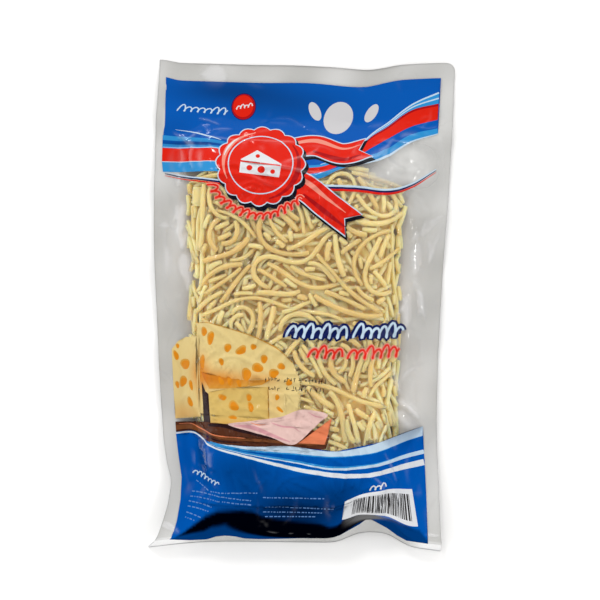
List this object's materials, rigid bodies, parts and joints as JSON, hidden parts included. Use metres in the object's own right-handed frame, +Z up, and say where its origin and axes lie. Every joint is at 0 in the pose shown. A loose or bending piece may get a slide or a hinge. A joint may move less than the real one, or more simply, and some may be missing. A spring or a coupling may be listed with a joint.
{
  "type": "grated cheese bag",
  "caption": "Heat-sealed clear film pouch of grated emmental, lying on its back, with a printed front, flat seals all round and a turned-down bottom seal.",
  "frame": {"origin": "centre of the bounding box, at the level that the pouch rests on", "axes": "+Z up out of the printed front, +Y from the bottom seal to the top seal, +X across the pouch to its right as the front is read"},
  "size_m": [0.1533, 0.2533, 0.0273],
  "materials": {
    "film": "clear glossy packing film",
    "cheese": "pale creamy yellow grated cheese, slightly moist",
    "print_blue": "blue ink on film",
    "print_red": "red ink on film",
    "print_white": "white ink on film"
  },
  "bodies": {
    "root": {"bag": "film"}
  },
  "joints": []
}
